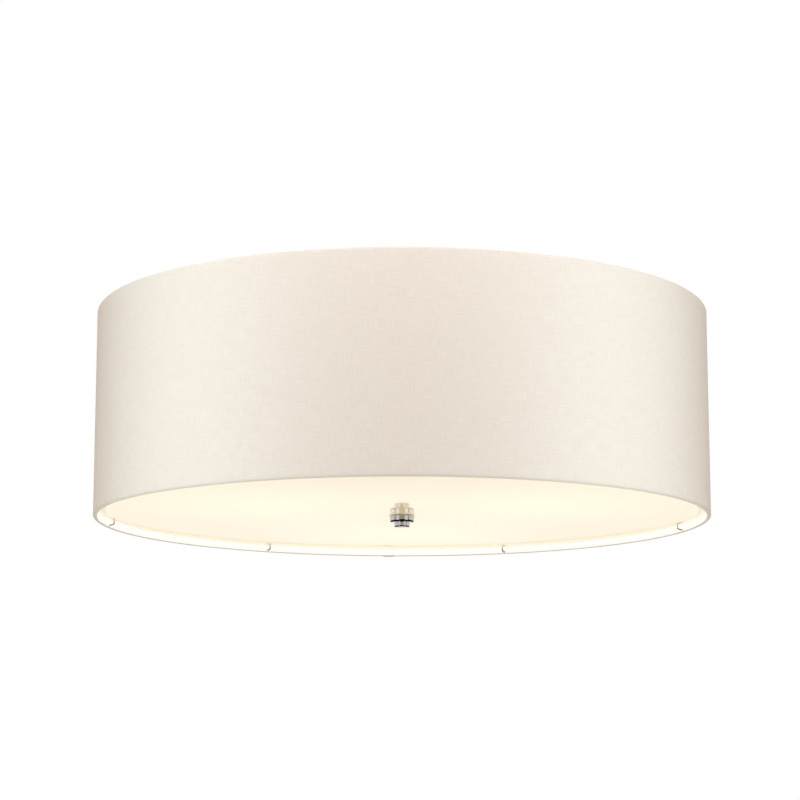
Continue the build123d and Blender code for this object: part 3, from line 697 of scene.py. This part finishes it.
def bent_line(corners, bend, steps=6):
    """The points of a flat line through corners, with each inner corner rounded to an arc."""
    points = [Vector(corners[0])]
    for before, corner, after in zip(corners, corners[1:], corners[2:]):
        corner = Vector(corner)
        come = (corner - Vector(before)).normalized()
        leave = (Vector(after) - corner).normalized()
        turn = come.angle(leave)
        reach = bend * tan(turn / 2)
        start = corner - come * reach
        inward = (leave - come * come.dot(leave)).normalized()
        for k in range(steps + 1):
            a = turn * k / steps
            points.append(start + come * bend * sin(a) + inward * bend * (1 - cos(a)))
    points.append(Vector(corners[-1]))
    return points


def wall_of_faces(shape, lower, upper, smooth=False):
    """Joins two rings of points by a band of faces."""
    count = len(lower)
    for j in range(count):
        following = (j + 1) % count
        face = shape.faces.new((lower[j], lower[following], upper[following], upper[j]))
        face.smooth = smooth


def sweep_wire(shape, points, radius, direction, sides=12):
    """Carries a circle along points in the upright plane that faces a direction."""
    across = Vector((-sin(direction), cos(direction), 0))
    outward = Vector((cos(direction), sin(direction), 0))
    up = Vector((0, 0, 1))
    spots = [outward * x + up * z for x, z in points]
    turns = [2 * pi * j / sides for j in range(sides)]
    rings = []
    for k, spot in enumerate(spots):
        ahead = (spots[min(k + 1, len(spots) - 1)] - spots[max(k - 1, 0)]).normalized()
        side = ahead.cross(across)
        ring = [spot + radius * (across * cos(turn) + side * sin(turn)) for turn in turns]
        rings.append([shape.verts.new(point) for point in ring])
    for lower, upper in zip(rings, rings[1:]):
        wall_of_faces(shape, lower, upper, smooth=True)
    shape.faces.new(rings[0][::-1])
    shape.faces.new(rings[-1])


def finished_piece(name, shape, node, body):
    """Turns a bmesh into a piece that stands for a node and rides a body."""
    bmesh.ops.recalc_face_normals(shape, faces=shape.faces)
    mesh = bpy.data.meshes.new(name)
    shape.to_mesh(mesh)
    shape.free()
    piece = place(name, mesh)
    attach(piece, body)
    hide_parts(node)
    return piece


print("points on a right-angle bend:", len(bent_line([(0, 0), (1, 0), (1, 1)], 0.1)) - 2)

# %% [markdown]
# A lug starts at the inner side of the bottom ring, passes the snip in the liner, rises beside
# the disc and reaches in over its edge. Seven of them hold the disc. The shape of one is given
# by its corners, as distance from the axis and height.

# %% Disc lugs
lug_corners_mm = [
    (296.4, -205.85),
    (295.25, -205.85),
    (290.95, -204.85),
    (290.95, -198.45),
    (280.0, -198.45),
]
lug_bend = 1.2 * MM

lug_line = bent_line([(x * MM, z * MM) for x, z in lug_corners_mm], lug_bend)
lug_shape = bmesh.new()
for direction in lug_directions:
    sweep_wire(lug_shape, lug_line, lug_wire / 2, direction)
round_lugs = finished_piece("round_lugs", lug_shape, "disc_lugs", "root")
print("lugs:", lug_count, "with", len(round_lugs.data.polygons), "faces")

# %% [markdown]
# The hollow rod is threaded from end to end. Its surface is a stack of rings, a crest and a
# groove for each turn, wound so that a turn ends one pitch higher. The thread runs out to nothing
# at both ends, where flat rims close it round the bore. A bump in the material would leave its
# outline straight.

# %% Threaded rod
rod_low, rod_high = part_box("centre_rod")
rod_radius = rod_high.x
rod_bore = 3.5 * MM
thread_pitch = 1.0 * MM
thread_depth = 0.55 * MM
rod_sides = 24
turn_rows = 2
rod_turns = round((rod_high.z - rod_low.z) / thread_pitch)
rod_rows = turn_rows * (rod_turns + 2)
same_height = thread_pitch / 1000


def thread_column(shape, side):
    """The points of the thread at one side. All that would lie beyond an end are one point."""
    a = 2 * pi * side / rod_sides
    column = []
    for k in range(rod_rows + 1):
        z = rod_low.z + thread_pitch * (k / turn_rows - 1 + side / rod_sides)
        z = min(max(z, rod_low.z), rod_high.z)
        if column and z - column[-1].co.z < same_height:
            column.append(column[-1])
            continue
        runout = min((z - rod_low.z) / thread_pitch, (rod_high.z - z) / thread_pitch, 1)
        radius = rod_radius - thread_depth * (k % turn_rows) * runout
        column.append(shape.verts.new((radius * cos(a), radius * sin(a), z)))
    return column


def hollow_thread(shape):
    """A hollow rod with a triangular thread and flat rims round its bore."""
    columns = [thread_column(shape, side) for side in range(rod_sides)]
    for side, left in enumerate(columns):
        right = columns[(side + 1) % rod_sides]
        climb = turn_rows if side == rod_sides - 1 else 0
        for k in range(rod_rows - climb):
            corners = (left[k], left[k + 1], right[k + 1 + climb], right[k + climb])
            corners = list(dict.fromkeys(corners))
            if len(corners) > 2:
                shape.faces.new(corners)
    narrow = rod_bore / rod_radius
    rims = [[column[end] for column in columns] for end in (0, -1)]
    bore = [
        [shape.verts.new((v.co.x * narrow, v.co.y * narrow, v.co.z)) for v in rim] for rim in rims
    ]
    for lower, upper in ((rims[0], bore[0]), (bore[0], bore[1]), (bore[1], rims[1])):
        wall_of_faces(shape, lower, upper)


rod_shape = bmesh.new()
hollow_thread(rod_shape)
print("open edges of the rod:", sum(len(e.link_faces) != 2 for e in rod_shape.edges))
rod = finished_piece("threaded_rod", rod_shape, "centre_rod", "root")
print("threaded rod faces:", len(rod.data.polygons))

# %% [markdown]
# Four nuts sit on the rod: two clamp it to the pan and two clamp the shade's hub. A real nut is
# turned before it is tapped, so its corners are cut off by a cone at both faces. That chamfer
# is what makes a hexagon look like a nut. Each nut is a ring of one section, whose corner radius
# follows the hexagon.

# %% Hexagon nuts
nut_flats = 14 * MM
nut_height = 4 * MM
nut_chamfer = radians(30)
nut_face_share = 0.97
nut_sides = 48


def hexagon_nut(shape, bottom):
    """A chamfered nut on the rod. Its corners are turned off by a cone at both faces."""
    top = bottom + nut_height
    flat_radius = nut_flats / 2 * nut_face_share
    rings = [[] for _ in range(6)]
    for j in range(nut_sides):
        a = 2 * pi * j / nut_sides
        corner = nut_flats / 2 / cos((a + pi / 6) % (pi / 3) - pi / 6)
        drop = (corner - flat_radius) * tan(nut_chamfer)
        section = (
            (rod_radius, bottom),
            (flat_radius, bottom),
            (corner, bottom + drop),
            (corner, top - drop),
            (flat_radius, top),
            (rod_radius, top),
        )
        for ring, (radius, z) in zip(rings, section):
            ring.append(shape.verts.new((radius * cos(a), radius * sin(a), z)))
    for lower, upper in zip(rings, rings[1:] + rings[:1]):
        wall_of_faces(shape, lower, upper)


chamfered_nuts = []
for node, name in (("rod_nuts", "chamfered_rod_nuts"), ("hub_nuts", "chamfered_hub_nuts")):
    low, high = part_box(node)
    nut_shape = bmesh.new()
    hexagon_nut(nut_shape, low.z)
    hexagon_nut(nut_shape, high.z - nut_height)
    nuts = finished_piece(name, nut_shape, node, "root")
    chamfered_nuts.append(nuts)
    print(nuts.name, "faces:", len(nuts.data.polygons))

# %% [markdown]
# A lamp's cap is thin aluminium, rolled between two dies into a rounded thread of 3.62 mm pitch.
# Each ring of points swells and shrinks with a sine wave, and the wave goes once round the cap
# in one pitch, which makes it a screw. The wave fades to a plain shoulder and a plain skirt. A
# Solidify modifier gives the shell the thickness of its sheet, on the inside.

# %% Threaded lamp caps
cap_start = 66.2 * MM
cap_shoulder = 69.2 * MM
cap_end = 92 * MM
cap_skirt = 3.5 * MM
cap_tip_radius = 4.8 * MM
cap_pitch = 3.62 * MM
cap_thread_depth = 0.7 * MM
cap_sheet = 0.4 * MM
cap_sides = 48
cap_steps = 56


def cap_profile(step, turn, cap_radius):
    """How far along the lamp's axis and how far from it a point of the cap lies."""
    if step < 0:
        return cap_start, cap_tip_radius
    if step > cap_steps:
        return cap_end, cap_radius
    thread_end = cap_end - cap_skirt
    reach = cap_shoulder + (thread_end - cap_shoulder) * step / cap_steps
    fade = min((reach - cap_shoulder) / cap_pitch, (thread_end - reach) / cap_pitch, 1)
    wave = 1 - sin(2 * pi * reach / cap_pitch - turn)
    return reach, cap_radius - cap_thread_depth / 2 * wave * max(fade, 0)


def threaded_cap(node, body):
    """A rolled screw shell on one lamp's axis: a closed tip, a rounded thread, a plain skirt."""
    low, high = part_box(node)
    middle = (low + high) / 2
    direction = atan2(middle.y, middle.x)
    outward = Vector((cos(direction), sin(direction), 0))
    across = Vector((-sin(direction), cos(direction), 0))
    up = Vector((0, 0, 1))
    axis = Vector((0, 0, middle.z))
    cap_radius = (high.z - low.z) / 2
    shape = bmesh.new()
    tip = shape.verts.new(axis + outward * cap_start)
    rings = []
    for k in range(-1, cap_steps + 2):
        ring = []
        for j in range(cap_sides):
            a = 2 * pi * j / cap_sides
            reach, radius = cap_profile(k, a, cap_radius)
            spot = outward * reach + (across * cos(a) + up * sin(a)) * radius
            ring.append(shape.verts.new(axis + spot))
        rings.append(ring)
    for j in range(cap_sides):
        shape.faces.new((tip, rings[0][(j + 1) % cap_sides], rings[0][j]))
    for lower, upper in zip(rings, rings[1:]):
        wall_of_faces(shape, lower, upper, smooth=True)
    cap = finished_piece("threaded_" + node, shape, node, body)
    sheet = cap.modifiers.new("sheet", "SOLIDIFY")
    sheet.thickness = cap_sheet
    sheet.offset = -1
    return cap


threaded_caps = [threaded_cap(f"lamp_cap_{k}", f"lamp_{k}") for k in (1, 2, 3)]
print("threaded caps:", [(c.name, len(c.data.polygons)) for c in threaded_caps])

# %% [markdown]
# ## Steel
#
# Three coats make the same sheet and rod look different. The strap, the lamps' brackets and the
# rod are zinc plated, which is blue-grey and cloudy. Screws, nuts, rivets and lugs are nickel
# plated, which is warmer and smoother. The pan, the rings, the arms and the hub are powder
# coated: the baked powder has a satin gloss and a ripple, called orange peel.

# %% Steel finishes


def zinc_plated_steel():
    """Pressed steel in bright zinc: a blue-grey metal with cloudy, slightly rough patches."""
    made, tree, shader = material("zinc_plated_steel", "b4b8bc", 0.36, metallic=1.0)
    clouds = blotches(tree, size_mm=7.0, detail=4.0)
    vary_roughness(tree, shader, clouds, smooth=0.28, rough=0.46)
    vary_colour(tree, shader, clouds, "a9adb3", "c2c5c8")
    add_relief(tree, shader, blotches(tree, size_mm=0.5, detail=3.0), depth_mm=0.02)
    return made


def nickel_plated_steel():
    """Small turned and headed steel parts in nickel: warm grey, smooth, with handling marks."""
    made, tree, shader = material("nickel_plated_steel", "c4c2bd", 0.24, metallic=1.0)
    vary_roughness(tree, shader, blotches(tree, size_mm=1.2, detail=4.0), smooth=0.18, rough=0.34)
    return made


def powder_coated_steel():
    """White polyester powder baked on steel: satin, with the ripple called orange peel."""
    made, tree, shader = material("powder_coated_steel", "eeede9", 0.34, IOR=1.5)
    peel = blotches(tree, size_mm=1.1, detail=1.0)
    vary_roughness(tree, shader, peel, smooth=0.3, rough=0.42)
    add_relief(tree, shader, peel, depth_mm=0.03, strength=0.35)
    return made


finishes["zinc_steel"] = zinc_plated_steel()
finishes["bright_steel"] = nickel_plated_steel()
finishes["white_enamel"] = powder_coated_steel()
print("steel:", [finish.name for finish in finishes.values()])

# %% [markdown]
# ## Chrome, brass and aluminium
#
# The finial is the one bright piece of the picture: turned brass that is polished and chromed.
# Chromium is a cool mirror that gives back little more than half of the light, so it looks dark
# next to the glowing disc. Contacts and clamping screws are bare brass, and the lamps' screw
# shells are thin aluminium.

# %% Chrome, brass and aluminium finishes


def chrome_on_brass():
    """Turned brass, polished and chromed: a cool mirror with hardly any haze."""
    made, tree, shader = material("chrome_on_brass", "c2c2cb", 0.05, metallic=1.0)
    vary_roughness(tree, shader, blotches(tree, size_mm=2.0), smooth=0.03, rough=0.07)
    return made


def pressed_brass():
    """Bare brass strip: a soft yellow metal with rolling lines and a little tarnish."""
    made, tree, shader = material("pressed_brass", "c8a860", 0.3, metallic=1.0)
    tarnish = blotches(tree, size_mm=2.5, detail=3.0)
    vary_colour(tree, shader, tarnish, "b4924c", "d4b670")
    vary_roughness(tree, shader, tarnish, smooth=0.24, rough=0.42)
    return made


def rolled_aluminium():
    """Thin aluminium, rolled into a screw shell: pale, soft metal with a fine haze."""
    made, tree, shader = material("rolled_aluminium", "cfd0d2", 0.3, metallic=1.0)
    vary_roughness(tree, shader, blotches(tree, size_mm=1.5, detail=3.0), smooth=0.24, rough=0.4)
    return made


finishes["chrome"] = chrome_on_brass()
finishes["brass"] = pressed_brass()
finishes["lamp_cap"] = rolled_aluminium()
print("chrome, brass and aluminium:", [finishes[s].name for s in ("chrome", "brass", "lamp_cap")])

# %% [markdown]
# ## The liner
#
# The shade is stiffened by a rolled sheet of white styrene. Below the disc it takes the light
# that spills past the disc's edge, and the photograph shows it there as a bright band. A weak
# emission that follows the height stands in for that spill: full below the disc, and hardly any
# above it, where the liner is lit by the scene alone.

# %% Shade liner
liner_glow_below = 0.42
liner_glow_inside = 0.08
spill_low = -203 * MM
spill_high = -188 * MM


def calendered_styrene():
    """Rolled white styrene sheet: bright, satin, faintly wavy, aglow below the disc."""
    made, tree, shader = material("calendered_styrene", "fdfcfa", 0.42, IOR=1.55)
    waves = blotches(tree, size_mm=14.0)
    vary_roughness(tree, shader, waves, smooth=0.36, rough=0.5)
    add_relief(tree, shader, waves, depth_mm=0.05, strength=0.3)
    spot = add(tree, "ShaderNodeTexCoord").outputs["Object"]
    spill = {
        "Value": add(tree, "ShaderNodeSeparateXYZ", {0: spot}).outputs["Z"],
        "From Min": spill_low,
        "From Max": spill_high,
        "To Min": liner_glow_below,
        "To Max": liner_glow_inside,
    }
    glow = {
        "Emission Color": linear("fffdf8"),
        "Emission Strength": add(tree, "ShaderNodeMapRange", spill),
    }
    feed(tree, shader, glow)
    return made


finishes["shade_liner"] = calendered_styrene()
print("liner glow", liner_glow_below, "below the disc and", liner_glow_inside, "above it")

# %% [markdown]
# ## Mouldings and rubber
#
# Mould makers spark their tools to a fine texture, and the plastic copies it: it breaks up the
# gloss of the terminal block, the disc's bush and the lampholders. The real texture is near 0.05
# mm, too fine to show, so it is drawn almost ten times coarser. Rubber carries a dusty bloom.

# %% Mouldings and rubber


def moulded_nylon():
    """Natural polyamide: creamy, slightly waxy, with the fine spark texture of its mould."""
    made, tree, shader = material("moulded_nylon", "e6e1d2", 0.45, IOR=1.53)
    spark = blotches(tree, size_mm=0.4)
    vary_roughness(tree, shader, spark, smooth=0.38, rough=0.52)
    add_relief(tree, shader, spark, depth_mm=0.02)
    return made


def moulded_polyester():
    """The lampholders' white heatproof polyester: hard, low gloss, finely textured."""
    made, tree, shader = material("moulded_polyester", "efeeea", 0.38, IOR=1.57)
    spark = blotches(tree, size_mm=0.5)
    vary_roughness(tree, shader, spark, smooth=0.32, rough=0.46)
    add_relief(tree, shader, spark, depth_mm=0.02)
    return made


def moulded_rubber():
    """Black rubber bushes: matt, with a dusty bloom."""
    made, tree, shader = material("moulded_rubber", "232326", 0.7, IOR=1.52)
    vary_colour(tree, shader, blotches(tree, size_mm=1.5, detail=4.0), "1c1c1f", "34343a")
    return made


def clear_silicone():
    """A soft clear washer: milky and a little rough, so light goes into it."""
    made, tree, shader = material(
        "clear_silicone", "e4e6e4", 0.35, IOR=1.41, Transmission_Weight=0.5
    )
    vary_roughness(tree, shader, blotches(tree, size_mm=1.0), smooth=0.3, rough=0.45)
    return made


finishes["nylon"] = moulded_nylon()
finishes["white_resin"] = moulded_polyester()
finishes["black_rubber"] = moulded_rubber()
finishes["clear_washer"] = clear_silicone()
print("finishes so far:", len(finishes))

# %% [markdown]
# ## Leads
#
# The lamps' leads wear heatproof sleeves of glass braid dipped in silicone, matt and finely
# ribbed. The earth lead's green and yellow run along a real lead as stripes. A wave that follows
# the height gives them here, and is drawn coarse, so that both show on so short a lead.

# %% Leads
earth_band_mm = 22.62


def silicone_sleeve():
    """Heatproof lead sleeve in off-white silicone and glass braid: matt, finely ribbed."""
    made, tree, shader = material("silicone_sleeve", "ece8de", 0.6, IOR=1.45)
    ribs = blotches(tree, size_mm=0.6)
    vary_colour(tree, shader, ribs, "e0dbcf", "f3f0e8")
    add_relief(tree, shader, ribs, depth_mm=0.05)
    return made


def striped_earth_lead():
    """The earth lead's plastic: green with yellow, smooth and slightly shiny."""
    made, tree, shader = material("striped_earth_lead", "5d8f2f", 0.38, IOR=1.52)
    spot = add(tree, "ShaderNodeTexCoord").outputs["Object"]
    banded = {"Vector": spot, "Scale": wave_texture_turn / (earth_band_mm * MM), "Distortion": 0.0}
    bands = add(tree, "ShaderNodeTexWave", banded, bands_direction="Z")
    vary_colour(tree, shader, bands.outputs["Fac"], "3f8a35", "e3cf3c")
    return made


finishes["lead_sleeve"] = silicone_sleeve()
finishes["earth_sleeve"] = striped_earth_lead()
print("earth lead in bands of", earth_band_mm, "mm")

# %% [markdown]
# ## Opal acrylic and opal glass
#
# Opal sheets glow because light scatters inside them. The disc is a little brighter under each
# of the three lamps and dimmer between them and at its edge. Scattering inside it could be
# rendered, but would be slow and grainy, so a weak emission stands in for it: an even glow, and
# a soft patch below each lamp. The polished underside still mirrors the finial at a low angle.

# %% Opal materials
lamp_reach = 141 * MM
first_lamp, lamp_count = 90, 3
lamp_directions = [radians(first_lamp + k * 360 / lamp_count) for k in range(lamp_count)]
glow_spread = 190 * MM
glow_edge = 0.12
glow_under_lamp = 0.09
glass_glow = 0.12


def lamp_glow(tree):
    """The disc's glow: even, with a soft patch below each lamp."""
    spot = add(tree, "ShaderNodeTexCoord").outputs["Object"]
    flat = add(tree, "ShaderNodeVectorMath", {0: spot, 1: (1, 1, 0)}, operation="MULTIPLY")
    glow = glow_edge
    for direction in lamp_directions:
        lamp = (lamp_reach * cos(direction), lamp_reach * sin(direction), 0)
        away = add(tree, "ShaderNodeVectorMath", {0: flat, 1: lamp}, operation="DISTANCE")
        fall = {
            "Value": away.outputs["Value"],
            "From Max": glow_spread,
            "To Min": glow_under_lamp,
            "To Max": 0.0,
        }
        patch = add(tree, "ShaderNodeMapRange", fall, interpolation_type="SMOOTHSTEP")
        glow = add(tree, "ShaderNodeMath", {0: patch, 1: glow}, operation="ADD")
    return glow


def opal_acrylic():
    """Extruded opal acrylic: glossy, warm white, lit from above by the three lamps."""
    made, tree, shader = material("opal_acrylic", "fff1ce", 0.06, IOR=1.49)
    feed(tree, shader, {"Emission Color": linear("fff0c6"), "Emission Strength": lamp_glow(tree)})
    vary_roughness(tree, shader, blotches(tree, size_mm=30.0), smooth=0.05, rough=0.08)
    return made


def opal_glass():
    """Blown opal glass: a hard gloss over milky white, faintly uneven, with a weak glow."""
    made, tree, shader = material("opal_glass", "fbf8f0", 0.08, IOR=1.52)
    feed(tree, shader, {"Emission Color": linear("fff2da"), "Emission Strength": glass_glow})
    vary_roughness(tree, shader, blotches(tree, size_mm=12.0), smooth=0.06, rough=0.12)
    return made


finishes["opal_disc"] = opal_acrylic()
finishes["lamp_glass"] = opal_glass()
print("disc glow", glow_edge, "at the edge and", glow_edge + glow_under_lamp, "below a lamp")

# %% [markdown]
# ## Dress the pieces
#
# The record of the light says which slot of material each modelled piece has, so one loop puts
# every finish in its slots. The finer meshes that were made above take theirs by name.

# %% Put the finishes on
for subpart in frame["record"]["subparts"]:
    finish = finishes.get(subpart["material_slot"])
    if finish:
        for holder in nodes[subpart["node"]].material_slots:
            holder.material = finish
for piece, slot in (
    (liner_edge, "shade_liner"),
    (round_lugs, "bright_steel"),
    (rod, "zinc_steel"),
    *((nut, "bright_steel") for nut in chamfered_nuts),
    *((cap, "lamp_cap") for cap in threaded_caps),
):
    piece.data.materials.append(finishes[slot])
print("finishes:", len(finishes), "on", len(nodes) - 1, "modelled pieces")
